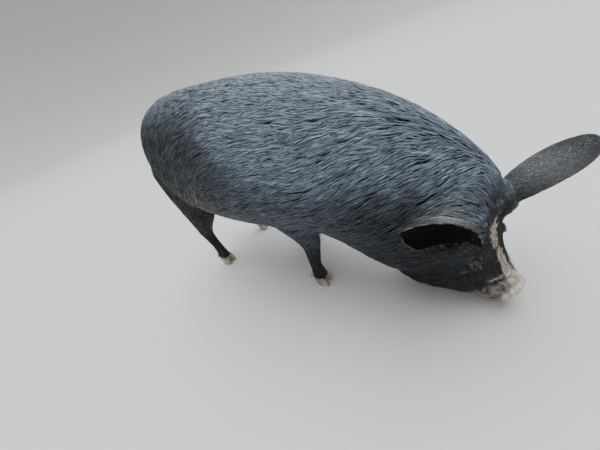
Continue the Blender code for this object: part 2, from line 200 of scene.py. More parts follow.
def read(items, name, size, kind=np.float32):
    values = np.empty(len(items) * size, kind)
    items.foreach_get(name, values)
    values = values.reshape(-1, size) if size > 1 else values
    return values.astype(float) if kind == np.float32 else values


def points_of(mesh):
    return read(mesh.vertices, "co", 3)


def add_object(name, data):
    made = bpy.data.objects.new(name, data)
    bpy.context.scene.collection.objects.link(made)
    return made


def replace_mesh(target):
    """Bake the object's modifiers into its mesh."""
    depsgraph = bpy.context.evaluated_depsgraph_get()
    mesh = bpy.data.meshes.new_from_object(target.evaluated_get(depsgraph))
    target.modifiers.clear()
    target.data = mesh


def mesh_of(made, name):
    """A new mesh from a bmesh, which is freed."""
    mesh = bpy.data.meshes.new(name)
    made.to_mesh(mesh)
    made.free()
    return mesh


def shade_smooth(mesh):
    mesh.polygons.foreach_set("use_smooth", np.ones(len(mesh.polygons), bool))


def finish(mesh, colours, *looks):
    """Give a mesh its materials, smooth shading, and each point's own colour, which the materials read."""
    layer = mesh.color_attributes.new("tone", "FLOAT_COLOR", "POINT")
    values = np.ones((len(colours), 4), np.float32)
    values[:, :3] = colours
    layer.data.foreach_set("color", values.ravel())
    shade_smooth(mesh)
    for look in looks:
        mesh.materials.append(MATERIALS[look])


def noise_at(points, scale, offset=0.0):
    """Smooth noise, about -1 to 1, at each point; scale is the size of its lumps in metres."""
    shift = Vector((offset, offset * 0.7, -offset))
    return np.array([noise.noise(Vector(point) / scale + shift) for point in points])


# The columns are ahead, left and up.
HEAD_AXES = np.array(Matrix.Rotation(HEAD_YAW, 3, "Z") @ Matrix.Rotation(HEAD_PITCH, 3, "Y"))
AHEAD, RISE = HEAD_AXES[:, 0], HEAD_AXES[:, 2]
EYES = {side: np.array(sum(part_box(f"eye_{side}"), Vector()) / 2) for side in ("right", "left")}
SNOUT = (EYES["right"] + EYES["left"]) / 2 - AHEAD * EYE_STATION - RISE * EYE_RISE


def to_head(points):
    """Station along the head's axis, side (left positive) and rise, from the middle of the disc."""
    return (points - SNOUT) @ HEAD_AXES


# ---- the skin ----
def named(start):
    return [name for name in NODES if name.startswith(start)]


def region_of(node):
    """The row of COAT for a node."""
    return next((region for part, region in PARTS if part in node), node)


def fuse_solids(name, nodes, voxel, grown=0.0):
    """One closed surface round these nodes' solids, each grown a little first."""
    made = bmesh.new()
    for node in nodes:
        made.from_mesh(NODES[node].data)
    bmesh.ops.remove_doubles(made, verts=made.verts, dist=WELD)
    made.normal_update()
    for vertex in made.verts:
        vertex.co += vertex.normal * grown
    piece = add_object(name, mesh_of(made, name))
    remesh = piece.modifiers.new("fuse", "REMESH")
    remesh.mode = "VOXEL"
    remesh.voxel_size = voxel
    replace_mesh(piece)
    return piece


class Network:
    """The edges of a mesh, for smoothing values over it."""

    def __init__(self, mesh):
        self.count = len(mesh.vertices)
        self.first, self.second = read(mesh.edges, "vertices", 2, np.int32).T
        ends = np.concatenate((self.first, self.second))
        self.valence = np.maximum(np.bincount(ends, minlength=self.count), 1)[:, None]

    def mean(self, values):
        total = np.empty_like(values)
        for axis, column in enumerate(values.T):
            total[:, axis] = np.bincount(self.first, column[self.second], self.count)
            total[:, axis] += np.bincount(self.second, column[self.first], self.count)
        return total / self.valence

    def smooth(self, values, rounds, weight=1.0, keep_volume=False):
        for _ in range(rounds):
            values = values + 0.5 * weight * (self.mean(values) - values)
            if keep_volume:
                values = values - 0.52 * weight * (self.mean(values) - values)
        return values


def node_tree(nodes=NODES):
    """The solids' faces as one search tree, with the region of each face."""
    points, faces, regions = [], [], []
    for name in nodes:
        start = len(points)
        points += [vertex.co.copy() for vertex in NODES[name].data.vertices]
        faces += [[start + index for index in face.vertices] for face in NODES[name].data.polygons]
        regions += [REGIONS.index(region_of(name))] * len(NODES[name].data.polygons)
    return BVHTree.FromPolygons(points, faces), np.array(regions)


def nearest_on(tree, points):
    """The nearest places on a search tree's surface, and the faces they are on."""
    found = [tree.find_nearest(Vector(point)) for point in points]
    return np.array([hit[0] for hit in found]), np.array([hit[2] for hit in found])


def regions_at(points):
    """The region of the nearest solid, or the ear where one is no more than EAR_REACH away."""
    tree, regions = node_tree()
    ears = node_tree(named("ear"))[0]
    near = [ears.find_nearest(Vector(point), EAR_REACH)[0] is not None for point in points]
    return np.where(near, REGIONS.index("ear"), regions[nearest_on(tree, points)[1]])


def is_region(regions, *names):
    return np.isin(regions, [REGIONS.index(name) for name in names])


def put_points(mesh, points):
    mesh.vertices.foreach_set("co", np.ascontiguousarray(points, np.float32).ravel())
    mesh.update()


def refine(mesh, chosen):
    """Halve the edges of the faces whose middles are chosen."""
    made = bmesh.new()
    made.from_mesh(mesh)
    middles = np.array([face.calc_center_median() for face in made.faces])
    mask = chosen(middles)
    edges = {edge for face, wanted in zip(made.faces, mask) if wanted for edge in face.edges}
    bmesh.ops.subdivide_edges(made, edges=list(edges), cuts=1, use_grid_fill=True)
    made.to_mesh(mesh)
    made.free()


def near_eyes(points, reach):
    return np.minimum(*(np.linalg.norm(points - eye, axis=1) for eye in EYES.values())) < reach


def coat_values(points, regions):
    """The row of COAT at each point, passing gently from the face's to the neck's at the back of the head."""
    face, neck = np.array(COAT["head"]), np.array(COAT["neck"])
    head = face + (neck - face) * ramp(-0.125, -0.235, to_head(points)[:, :1])
    return np.where(is_region(regions, "head")[:, None], head, np.array(list(COAT.values()))[regions])


def eye_axes(side):
    """Out of the head, along the lids towards the back corner, and up across them."""
    turn = -1.0 if side == "right" else 1.0
    out = unit(HEAD_AXES @ np.array((0.58, 0.58 * turn, 0.57)))
    back = HEAD_AXES @ np.array((-0.80, 0.30 * turn, 0.45))
    back = unit(back - out * (back @ out))
    return out, back, unit(np.cross(out, back) * turn)


def at_eye(points, side):
    """Places round an eye: along its lids, up across them and out of the head, and the distance from it."""
    offset = points - EYES[side]
    out, back, up = eye_axes(side)
    return offset @ back, offset @ up, offset @ out, np.linalg.norm(offset, axis=1)


def near_wrinkles(along, across, width):
    """1 on the wrinkles over an eye, falling to 0 about a width away."""
    share = np.zeros(len(along))
    for top, foot in WRINKLES:
        way = foot - top
        t = np.clip(((along - top[0]) * way[0] + (across - top[1]) * way[1]) / (way @ way), 0, 1)
        gap = np.hypot(along - top[0] - t * way[0], across - top[1] - t * way[1])
        share = np.maximum(share, bump(gap, 0.0, width))
    return share


def eye_shares(points):
    """The distance from the middle of the lids' opening, 1 at its edge, and 1 on the wrinkles, 0 off them."""
    opening, wrinkled = np.full(len(points), FAR_OFF), np.zeros(len(points))
    for side in EYES:
        along, across, height, distance = at_eye(points, side)
        near = (height > 0) & (distance < 0.03)
        ratio = np.hypot(along / LID_LENGTH, across / LID_HEIGHT)
        opening = np.where(near, np.minimum(opening, ratio), opening)
        wrinkled = np.maximum(wrinkled, near_wrinkles(along, across, 0.0015) * near)
    return opening, wrinkled


def nostril_reaches(side, rise):
    """For each nostril, the distance from its middle, 1 at its edge."""
    half_width, half_height = NOSTRIL_HALVES
    return [np.hypot((side - middle) / half_width, (rise - NOSTRIL_RISE) / half_height)
            for middle in (-NOSTRIL_SIDE, NOSTRIL_SIDE)]


def shape_eyes(points):
    """Press a socket round each eyeball and lay two lids over it, with folds around them."""
    for side in EYES:
        along, across, height, distance = at_eye(points, side)
        reach = np.hypot(along, across)
        opening = np.hypot(along / LID_LENGTH, (across + 0.0004) / LID_HEIGHT)
        inside = np.sqrt(np.maximum(SOCKET_RADIUS ** 2 - reach ** 2, 0.0))
        lid = np.sqrt(np.maximum((EYE_RADIUS + LID_THICKNESS) ** 2 - (0.85 * reach) ** 2, 0.0))
        lid = lid + 0.0010 * bump(opening, 1.32, 0.22)
        lid = lid - 0.0007 * bump(opening, 2.0, 0.18) - 0.0006 * bump(opening, 2.8, 0.22) * (across > 0)
        wanted = inside + (lid - inside) * ramp(0.90, 1.14, opening)
        held = 1 - ramp(0.0080, 0.0155, reach)
        ring = np.hypot(along * 0.75, across)
        broken = 0.5 + 0.5 * np.sin(3 * np.arctan2(across, along) + 1.0)
        folds = 0.0007 * np.cos(2 * math.pi * (ring - 0.0095) / 0.0052) * bump(ring, 0.0165, 0.0065) * broken
        folds = folds + 0.0012 * near_wrinkles(along, across, 0.0014)
        brow = 0.0030 * bump(across, 0.019, 0.008) * bump(along, 0.0, 0.018)
        near = (distance < 0.045) & (height > -0.012)
        lifted = height + (wanted - height) * held + (folds + brow) * (1 - held)
        points = points + eye_axes(side)[0] * np.where(near, lifted - height, 0.0)[:, None]
    return points


def snout_crease(wide, rise):
    """Station of the crease round the snout, further back to the sides."""
    return -0.030 - 0.42 * np.minimum(wide, 0.045) + 0.014 * ramp(0.024, -0.006, rise)


def lift_snout(lift, station, side, rise):
    """The disc's rim, the crease behind it with its two lips, and three creases over the bridge."""
    wide = np.abs(side)
    lift += 0.0016 * bump(station, -0.004, 0.005) - 0.0022 * bump(station, -0.0165, 0.0042)
    crease = snout_crease(wide, rise)
    upper = ramp(-0.030, -0.012, rise)
    ripple = 1.0 + 0.4 * np.sin(side / 0.006)
    lift -= 0.0030 * bump(station, crease, 0.0030) * upper * ripple
    lift += 0.0018 * (bump(station, crease + 0.008, 0.0045) + bump(station, crease - 0.007, 0.0040)) * upper
    bridge = ramp(0.040, 0.018, wide) * ramp(0.0, 0.02, rise)
    for place in (-0.066, -0.077, -0.089):
        lift -= 0.0012 * bump(station, place - 0.15 * wide, 0.0026) * bridge


def lift_mouth(lift, station, side, rise):
    """The line of the mouth and the lip below it."""
    line = -0.019 + 0.10 * (station + 0.010) + 0.012 * ramp(-0.062, -0.084, station)
    mouth = ramp(-0.088, -0.076, station) * ramp(0.004, -0.010, station)
    lift -= 0.0050 * bump(rise, line, 0.0022) * mouth
    lift += 0.0020 * bump(rise, line - 0.0075, 0.0045) * mouth


def lift_folds(lift, station, side, rise):
    """The folds across the forehead and down each cheek."""
    wide = np.abs(side)
    brow = ramp(-0.100, -0.112, station) * ramp(-0.175, -0.150, station)
    brow = brow * ramp(0.050, 0.030, wide) * ramp(0.05, 0.07, rise)
    lift += 0.0014 * np.sin(2 * math.pi * (station + 0.35 * wide) / 0.0125) * brow
    cheek = ramp(0.045, 0.070, wide) * bump(station, -0.125, 0.040)
    lift += 0.0022 * np.sin(2 * math.pi * (station - 0.5 * rise) / 0.026) * cheek


def shape_face(points, normals, share):
    """Add the face's creases and folds, and press in the nostrils.

    The share is 1 on the head itself and 0 on the ears and the neck."""
    station, side, rise = to_head(points).T
    lift = np.zeros(len(points))
    for add_features in (lift_snout, lift_mouth, lift_folds):
        add_features(lift, station, side, rise)
    points = points + normals * (lift * share * ramp(-0.21, -0.18, station))[:, None]
    for reach in nostril_reaches(side, rise):
        depth = NOSTRIL_DEPTH * np.exp(-reach ** 4 * 0.8) - 0.0010 * bump(reach, 1.35, 0.25)
        points = points - AHEAD * np.where(station > -0.012, depth, 0.0)[:, None]
    return points


def smooth_body(mesh):
    """Take the voxels' steps and the solids' edges out of the skin, and less of the ears and the tail."""
    fine = is_region(regions_at(points_of(mesh)), "ear", "tail")
    web = Network(mesh)
    weight = web.smooth(np.where(fine, 0.35, 1.0)[:, None], 6)
    put_points(mesh, web.smooth(points_of(mesh), 44, weight, keep_volume=True))


def refine_head(mesh):
    """Smaller faces on the face and ears, smaller again at the eyes and the disc, and all smoothed."""
    tree, labels = node_tree()

    def on_face_or_ear(middles):
        on_ear = is_region(labels[nearest_on(tree, middles)[1]], "ear")
        return (to_head(middles)[:, 0] > FACE_BACK) | on_ear

    refine(mesh, on_face_or_ear)
    refine(mesh, lambda middles: near_eyes(middles, 0.020) | (to_head(middles)[:, 0] > -0.007))
    points = points_of(mesh)
    regions = regions_at(points)
    weight = ramp(FACE_BACK - 0.02, FACE_BACK, to_head(points)[:, :1])
    weight = np.maximum(weight, 0.9 * is_region(regions, "ear")[:, None])
    put_points(mesh, Network(mesh).smooth(points, 10, weight, True))
    return regions


def sink_skin(mesh, regions):
    """Move the skin in by the coat's depth."""
    web = Network(mesh)
    points = points_of(mesh)
    depth = web.smooth(coat_values(points, regions)[:, :1], 24)
    normals = unit(web.smooth(read(mesh.vertices, "normal", 3), 3))
    points = points - normals * (depth + SKIN_OVERLAP)
    put_points(mesh, points)
    return points, web


def build_skin():
    skin = fuse_solids("skin", NODES, SKIN_VOXEL, SKIN_OVERLAP)
    mesh = skin.data
    smooth_body(mesh)
    regions = refine_head(mesh)
    points, web = sink_skin(mesh, regions)
    normals = unit(web.smooth(read(mesh.vertices, "normal", 3), 2))
    on_head = is_region(regions, "head", "snout").astype(float)
    share = ramp(0.5, 1.0, web.smooth(on_head[:, None], 12)[:, 0])
    put_points(mesh, shape_eyes(shape_face(points, normals, share)))
    thin_out(skin, regions)
    return skin


def thin_out(skin, regions):
    """Fewer faces, first on the body, which the coat hides, and then wherever the skin is smooth."""
    points = points_of(skin.data)
    fine = (to_head(points)[:, 0] > FACE_BACK - 0.01) | is_region(regions, "ear")
    group = skin.vertex_groups.new(name="body")
    group.add(np.flatnonzero(~fine).tolist(), 1.0, "REPLACE")
    skin.data.calc_loop_triangles()
    whole = len(skin.data.loop_triangles)
    body = int(whole * (1 - fine.mean()))
    left = whole - body + min(body, BODY_TRIANGLES)
    for group_name, count in (("body", left), ("", min(SKIN_TRIANGLES, left))):
        skin.data.calc_loop_triangles()
        decimate = skin.modifiers.new("thin out", "DECIMATE")
        decimate.vertex_group = group_name
        decimate.ratio = min(count / len(skin.data.loop_triangles), 1.0)
        replace_mesh(skin)
    skin.vertex_groups.clear()


# ---- markings ----
def blaze_share(points):
    """1 on the pale stripe from the forehead to the snout, 0 off it."""
    station, side, rise = to_head(points).T
    ragged = noise_at(points, 0.009, 3.0) * 0.0035
    middle = 0.001 + 0.009 * ramp(-0.115, -0.072, station) - 0.008 * ramp(-0.064, -0.042, station)
    half = 0.0115 - 0.0045 * bump(station, -0.086, 0.010) - 0.004 * ramp(-0.135, -0.155, station)
    half = half + 0.006 * ramp(-0.045, -0.018, station)
    stripe = ramp(half + 0.003, half - 0.002, np.abs(side - middle) + ragged)
    stripe = stripe * (1 - 0.6 * bump(station, -0.088, 0.005))
    return stripe * ramp(-0.154, -0.142, station + ragged) * ramp(0.004, 0.018, rise)


def muzzle_share(points):
    """1 on the bare grey muzzle before the crease, 0 behind it."""
    station, side, rise = to_head(points).T
    ragged = noise_at(points, 0.012, 4.0) * 0.004
    edge = -0.050 + 0.010 * ramp(0.00, 0.035, rise)
    return ramp(edge - 0.006, edge + 0.008, station + ragged)


def fold_share(points):
    """1 on the bare fold behind the crease, on each side of the bridge of the nose."""
    station, side, rise = to_head(points).T
    wide = np.abs(side)
    middle = snout_crease(wide, rise) - 0.0065
    ends = ramp(0.006, 0.013, wide) * ramp(0.046, 0.036, wide)
    return bump(station, middle, 0.0032) * ends * ramp(0.014, 0.022, rise)


def disc_share(points):
    """1 on the pale rim and face of the snout's disc."""
    station, side, rise = to_head(points).T
    ragged = noise_at(points, 0.006, 6.0) * 0.003
    edge = -0.010 - 0.008 * ramp(-0.005, 0.020, rise)
    return ramp(edge - 0.004, edge + 0.004, station + ragged)


def foot_share(points):
    """1 on the pale feet, 0 above them."""
    shares = np.zeros(len(points))
    ragged = noise_at(points, 0.012, 9.0) * 0.006
    for leg, top in PALE_FEET.items():
        middle = np.array(sum(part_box(f"leg_{leg}_lower"), Vector()) / 2)
        on_leg = (np.abs(points - middle)[:, :2] < LEG_REACH).all(axis=1)
        shares += on_leg * ramp(top + 0.006, top - 0.006, points[:, 2] + ragged)
    return np.clip(shares, 0, 1)


def tail_share(points, regions):
    """1 on the pale end of the tail."""
    return is_region(regions, "tail") * ramp(-0.495, -0.512, points[:, 0])


def painted_sheen_share(points, normals):
    """How far the painted bluish sheen of the light from above replaces black on the back and the upper
    sides, 0 to 1.1.
    """
    rear = ramp(0.07, -0.14, points[:, 0])
    front = ramp(0.10, 0.26, points[:, 0])
    # painted sheen: skin that faces up is painted paler, as if lit from above
    up = ramp(0.05 + 0.55 * rear + 0.15 * front, 0.62 + 0.38 * rear, normals[:, 2])
    lumps = 1 + 0.25 * noise_at(points, 0.09, 8.0)
    # painted sheen on the upper sides, fading out lower down and weaker on the rump and the front
    side = (0.55 - 0.52 * rear) * (1 - 0.9 * front) * ramp(0.12, 0.28, points[:, 2])
    crown = ramp(0.06, 0.0, to_head(points)[:, 0] + 0.16)
    return np.clip((side + (1.05 - 0.2 * rear) * up * crown) * lumps, 0, 1.1)


def ear_facing(points, normals):
    """1 where an ear's skin faces out of its hollow, -1 on its back."""
    return dots(normals, np.where(points[:, 1:2] < 0, *unit(EAR_OPENINGS)))


def hollow_side(facing):
    return ramp(-0.1, 0.3, facing)


def back_side(facing):
    return ramp(0.1, -0.4, facing)


def ear_sheen(points):
    """The painted grey sheen of an ear's back, strongest at its middle and stronger on the right ear."""
    shares = []
    for (root, tip), most in zip(EAR_AXES, (1.3, 0.45)):
        way = tip - root
        shares.append(most * bump((points - root) @ way / (way @ way), 0.47, 0.30))
    return np.where(points[:, 1] < 0, *shares)


def poll_sheen(points):
    """1 on the painted grey sheen of the short smooth hair over the muscle at the root of each ear."""
    station, side, rise = to_head(points).T
    return np.exp(-((station + 0.198) ** 2 + (np.abs(side) - 0.092) ** 2 + (rise - 0.148) ** 2) / 0.027 ** 2)


# ---- which way the hair lies ----
def along_path(points, path):
    """The direction of the nearest stretch of a path at each point."""
    middles, ways = (path[1:] + path[:-1]) / 2, unit(path[1:] - path[:-1])
    nearest = np.argmin(np.linalg.norm(points[:, None] - middles[None], axis=2), axis=1)
    return ways[nearest]


def lie_at(points, regions):
    """Direction of the hair: back along the body, down over the rump and legs, back from the snout."""
    rear = ramp(-0.02, -0.42, points[:, 0])[:, None]
    station, side, rise = to_head(points).T
    cheek = (ramp(0.03, 0.08, np.abs(side)) * ramp(-0.06, -0.13, station))[:, None]
    face = -AHEAD + cheek * np.array((0, 0, -0.55))
    ways = {
        "trunk": np.array((-1.0, 0, -0.16)) + rear * np.array((0.78, 0, -1.10)),
        "neck": np.array((-1.0, 0, -0.45)),
        "head": face,
        "snout": face,
        "ear": np.where(points[:, 1:2] < 0, *(EAR_AXES[:, 1] - EAR_AXES[:, 0])),
        "tail": along_path(points, TAIL_PATH),
        "thigh": np.array((-0.15, 0, -1.0)),
        "shank": np.array((-0.10, 0, -1.0)),
    }
    lie = np.zeros_like(points)
    for name, way in ways.items():
        mask = is_region(regions, name)
        lie[mask] = np.broadcast_to(unit(way), points.shape)[mask]
    return lie


class Field:
    """The finished skin as a search tree, with what grows on each of its triangles."""

    def __init__(self, skin):
        mesh = skin.data
        mesh.calc_loop_triangles()
        self.triangles = read(mesh.loop_triangles, "vertices", 3, np.int32)
        self.points = points_of(mesh)
        self.normals = read(mesh.vertices, "normal", 3)
        self.regions = regions_at(self.points)
        web = Network(mesh)
        self.relief = dots(self.points - web.smooth(self.points, 8), self.normals) / 0.0006
        self.on_ear = web.smooth(is_region(self.regions, "ear").astype(float)[:, None], 3)[:, 0]
        self.facing = ear_facing(self.points, self.normals)
        self.hollow = self.on_ear * hollow_side(self.facing)
        sharp = 1 - np.linalg.norm(web.smooth(self.normals, 5), axis=1)
        self.ear_rim = ramp(0.5, 1.0, self.on_ear) * ramp(0.12, 0.30, sharp)
        lie = web.smooth(lie_at(self.points, self.regions), 14)
        self.lie = self.on_faces(unit(lie - self.normals * dots(lie, self.normals)[:, None]))
        values = self.on_faces(web.smooth(coat_values(self.points, self.regions), 8))
        self.depth, self.length, self.width, density = values.T
        self.density = density * (1 - self.on_faces(self.bareness()))
        self.face_normals = unit(self.on_faces(web.smooth(self.normals, 2)))
        self.tree = BVHTree.FromPolygons(self.points.tolist(), self.triangles.tolist())

    def bareness(self):
        """1 where no hair grows, and near it on the muzzle, the fold, and the ears' hollows and rims."""
        bare = np.maximum(0.85 * muzzle_share(self.points), eye_shares(self.points)[0] < BARE_LIDS)
        bare = np.maximum(bare, 0.9 * fold_share(self.points))
        return np.maximum(bare, np.maximum(self.hollow, 0.95 * self.ear_rim))

    def on_faces(self, values):
        return values[self.triangles].mean(axis=1)

    def scatter(self, density):
        """Random places on the skin, so many to the square metre of each triangle."""
        first, second, third = (self.points[self.triangles[:, corner]] for corner in range(3))
        areas = np.linalg.norm(np.cross(second - first, third - first), axis=1) / 2
        counts = (areas * density + rng.random(len(areas))).astype(int)
        faces = np.repeat(np.arange(len(counts)), counts)
        shares = rng.random((len(faces), 2))
        over = shares.sum(axis=1) > 1
        shares[over] = 1 - shares[over]
        shares = np.concatenate((1 - shares.sum(axis=1, keepdims=True), shares), axis=1)
        corners = self.points[self.triangles[faces]]
        return (corners * shares[:, :, None]).sum(axis=1), faces

    def walk(self, starts, faces, lengths, steps, turn):
        """Paths over the skin along the lie: a list of (points, triangles), one for each step."""
        path = [(starts, faces)]
        points = starts
        for _ in range(steps):
            ways = self.lie[faces]
            ways = unit(ways + turn[:, None] * np.cross(self.face_normals[faces], ways))
            points, faces = nearest_on(self.tree, points + ways * (lengths / steps)[:, None])
            path.append((points, faces))
        return path


# ---- tufts ----
def nearest_guides(points, guides):
    tree = KDTree(len(guides))
    for index, guide in enumerate(guides):
        tree.insert(guide, index)
    tree.balance()
    return np.array([tree.find(point)[1] for point in points])


def grow(field, starts, faces, rings):
    """Centre lines and outward directions of tufts, each (tufts, rings + 1, 3), gathered towards guides."""
    count = len(starts)
    lengths = field.length[faces] * rng.uniform(0.70, 1.25, count)
    guide_starts, guide_faces = field.scatter(1.0 / LOCK_SPACING ** 2)
    guide_turns = rng.normal(0, LOCK_TURN, len(guide_starts))
    guide_path = field.walk(guide_starts, guide_faces, field.length[guide_faces], rings, guide_turns)
    guides = nearest_guides(starts, guide_starts)
    turns = guide_turns[guides] + rng.normal(0, TUFT_STRAY, count)
    path = field.walk(starts, faces, lengths, rings, turns)
    phase = rng.uniform(0, 1, len(guide_starts))[guides] + rng.normal(0, TUFT_STRAY, count)
    rump = ramp(0.0, -0.20, starts[:, 0])
    layer = rng.uniform(0.80 - 0.25 * rump, 1.0, count)
    pull = 0.12 + 0.40 * rump
    centres = []
    for ring, (foot, at) in enumerate(path):
        t = ring / rings
        normal, way = field.face_normals[at], field.lie[at]
        side = np.cross(way, normal)
        gap = guide_path[ring][0][guides] - foot
        near = np.linalg.norm(gap, axis=1) < 2.5 * LOCK_SPACING
        along, across = dots(gap, way)[:, None] * way, dots(gap, side)[:, None] * side
        close = (near * pull * t ** 1.3)[:, None]
        wave = 0.035 * lengths * math.sqrt(t) * np.sin(2 * math.pi * (0.9 * t + phase))
        centre = foot + close * (0.8 * across + 0.3 * along) + side * wave[:, None]
        room = np.maximum(field.depth[at] - RIDGE * field.width[at], 0.0003)
        rise = np.interp(t, RISE_PLACES, RISE_SHARES)
        centres.append(centre + normal * (room * rise * (layer if ring else 1.0))[:, None])
    return np.stack(centres, 1), np.stack([field.face_normals[at] for _, at in path], 1)


def tuft_points(centres, outs, widths, rings):
    """Three-sided rings along each centre line, and its tip."""
    ways = unit(np.gradient(centres, axis=1))
    sides = unit(np.cross(ways, outs))
    ups = np.cross(sides, ways)
    twist = rng.normal(0, 0.16, len(centres))[:, None, None]
    sides, ups = sides * np.cos(twist) + ups * np.sin(twist), ups * np.cos(twist) - sides * np.sin(twist)
    taper = np.interp(np.arange(rings) / rings, TAPER_PLACES, TAPER_SHARES)
    half = (widths[:, None] * taper / 2)[:, :, None]
    body = centres[:, :rings]
    left, right = body - sides[:, :rings] * half, body + sides[:, :rings] * half
    ridge = body + ups[:, :rings] * half * 2 * RIDGE
    points = np.stack((left, right, ridge), axis=2).reshape(len(centres), rings * 3, 3)
    return np.concatenate((points, centres[:, rings:]), axis=1)


def tuft_faces(rings):
    faces = [(0, 1, 2)]
    for ring in range(rings - 1):
        for corner in range(3):
            a, b = 3 * ring + corner, 3 * ring + (corner + 1) % 3
            faces += [(a, a + 3, b), (b, a + 3, b + 3)]
    tip = 3 * rings
    last = tip - 3
    faces += [(last + corner, tip, last + (corner + 1) % 3) for corner in range(3)]
    return np.array(faces)


def tuft_colours(roots, faces, field, rings):
    """Colour of each point: painted sheen on the back and the ears' backs, painted shade in the ears' hollows
    and at the root, paler at the tip, and white-haired on the markings.
    """
    count = len(roots)
    first = field.triangles[faces][:, 0]
    regions, on_ear, normals = field.regions[first], field.on_ear[first], field.face_normals[faces]
    facing = ear_facing(roots, normals)
    # painted sheen: tufts that face up on the back, and a quarter of those on the top of the rump, painted
    # bluish grey
    rump = ramp(0.03, -0.10, roots[:, 0]) * ramp(0.0, 0.6, normals[:, 2])
    painted_sheen_strands = 0.5 * rump * (rng.random(count) < 0.25)
    painted_sheen = np.maximum(painted_sheen_share(roots, normals) * rng.uniform(0.7, 1.2, count), painted_sheen_strands) * (1 - on_ear)
    base = mix(BLACK_HAIR, BROWN_HAIR, rng.uniform(0, 1, count) ** 3)
    base = mix(base, PAINTED_SHEEN_HAIR, painted_sheen)
    # painted grey sheen on the tufts of the ears' backs
    base = mix(base, GREY_HAIR_AND_SHEEN, on_ear * back_side(facing) * rng.uniform(0.75, 1.1, count) * ear_sheen(roots))
    # tufts in the ears' hollows darkened: partly their own dark hair, partly painted shade
    base = base * (1 - 0.6 * on_ear * hollow_side(facing))[:, None]
    # painted grey sheen on the short hair over the root of each ear
    base = mix(base, GREY_HAIR_AND_SHEEN, poll_sheen(roots) * rng.uniform(0.7, 1.0, count) * (1 - on_ear))
    base = base * np.exp(0.26 * rng.normal(0, 1, count))[:, None]
    pale = np.maximum(0.85 * blaze_share(roots), foot_share(roots))
    is_pale = rng.random(count) < np.maximum(pale, 0.85 * tail_share(roots, regions))
    base[is_pale] = PALE_HAIR * rng.uniform(0.55, 1.1, (is_pale.sum(), 1))
    # painted shade: each tuft darker towards its root, where the coat covers it
    shade = np.append(np.repeat(np.interp(np.arange(rings) / rings, SHADE_PLACES, SHADES), 3), SHADES[-1])
    return base[:, None, :] * shade[None, :, None]


class Unwrap:
    """An unwrap of the skin's own shape, for the places of the tufts' patches in the coat's map."""

    def __init__(self, skin):
        copy = add_object("unwrap", skin.data.copy())
        thin = copy.modifiers.new("thin", "DECIMATE")
        thin.ratio = UNWRAP_RATIO
        replace_mesh(copy)
        bpy.ops.object.select_all(action="DESELECT")
        bpy.context.view_layer.objects.active = copy
        copy.select_set(True)
        bpy.ops.object.mode_set(mode="EDIT")
        bpy.ops.mesh.select_all(action="SELECT")
        bpy.ops.uv.smart_project(angle_limit=math.radians(66), island_margin=0.004)
        bpy.ops.object.mode_set(mode="OBJECT")
        mesh = copy.data
        mesh.calc_loop_triangles()
        self.corners = points_of(mesh)[read(mesh.loop_triangles, "vertices", 3, np.int32)]
        loops = read(mesh.loop_triangles, "loops", 3, np.int32)
        self.places = read(mesh.uv_layers.active.data, "uv", 2)[loops]
        flat = self.corners.reshape(-1, 3).tolist()
        self.tree = BVHTree.FromPolygons(flat, np.arange(len(flat)).reshape(-1, 3).tolist())
        bpy.data.objects.remove(copy)

    def at(self, points):
        """The map's coordinates of the nearest place on the skin."""
        hits, faces = nearest_on(self.tree, points)
        first, second, third = np.moveaxis(self.corners[faces], 1, 0)
        normal = np.cross(second - first, third - first)
        size = np.maximum(dots(normal, normal), 1e-18)
        two = dots(np.cross(hits - first, third - first), normal) / size
        three = dots(np.cross(second - first, hits - first), normal) / size
        shares = np.clip(np.stack((1 - two - three, two, three), 1), 0, 1)
        places = (self.places[faces] * shares[:, :, None]).sum(axis=1)
        return np.clip(places, PATCH, 1 - PATCH)


def tuft_map(places, rings):
    """The map's coordinates of every point of each tuft, inside its own patch."""
    offsets = [(across, ring / rings - 0.5) for ring in range(rings) for across in (-0.5, 0.5, 0.0)]
    offsets = np.array(offsets + [(0.0, 0.5)]) * PATCH
    return places[:, None] + offsets[None]


def add_coat_piece(name, points, colours, places, rings):
    each = points.shape[1]
    faces = (tuft_faces(rings)[None] + each * np.arange(len(points))[:, None, None]).reshape(-1, 3)
    mesh = bpy.data.meshes.new(name)
    mesh.from_pydata(points.reshape(-1, 3), [], faces)
    finish(mesh, colours.reshape(-1, 3), "coat")
    layer = mesh.uv_layers.new(name="OFBake")
    layer.data.foreach_set("uv", places.reshape(-1, 2)[faces.ravel()].astype(np.float32).ravel())
    return add_object(name, mesh)


def make_lashes(unwrap):
    """The pale lashes of the upper lids."""
    turns = np.linspace(0.18, 0.86, LASHES)[:, None] * math.pi
    along, across = np.cos(turns), np.sin(turns)
    starts, ways, outs = [], [], []
    for side, eye in EYES.items():
        out, back, up = eye_axes(side)
        edge = back * along * LID_LENGTH * 1.15 + up * across * LID_HEIGHT * 1.5
        starts.append(eye + edge + out * (EYE_RADIUS - 0.0022))
        ways.append(out * 0.75 + up * 0.35 * across + back * (0.45 * along + 0.25))
        outs.append(np.tile(up, (LASHES, 1)))
    starts, ways, outs = (np.concatenate(rows) for rows in (starts, ways, outs))
    ways = unit(ways)
    lengths = rng.uniform(0.004, 0.008, len(starts))[:, None]
    shares = np.linspace(0, 1, LONG_RINGS + 1)
    centres = np.stack([starts + ways * lengths * t - outs * lengths * 0.28 * t * t for t in shares], 1)
    outs = np.repeat(outs[:, None], LONG_RINGS + 1, 1)
    points = tuft_points(centres, outs, np.full(len(starts), LASH_WIDTH), LONG_RINGS)
    tones = np.tile(GREY_HAIR_AND_SHEEN * 0.9, (len(starts), points.shape[1], 1))
    return add_coat_piece("lashes", points, tones, tuft_map(unwrap.at(starts), LONG_RINGS), LONG_RINGS)


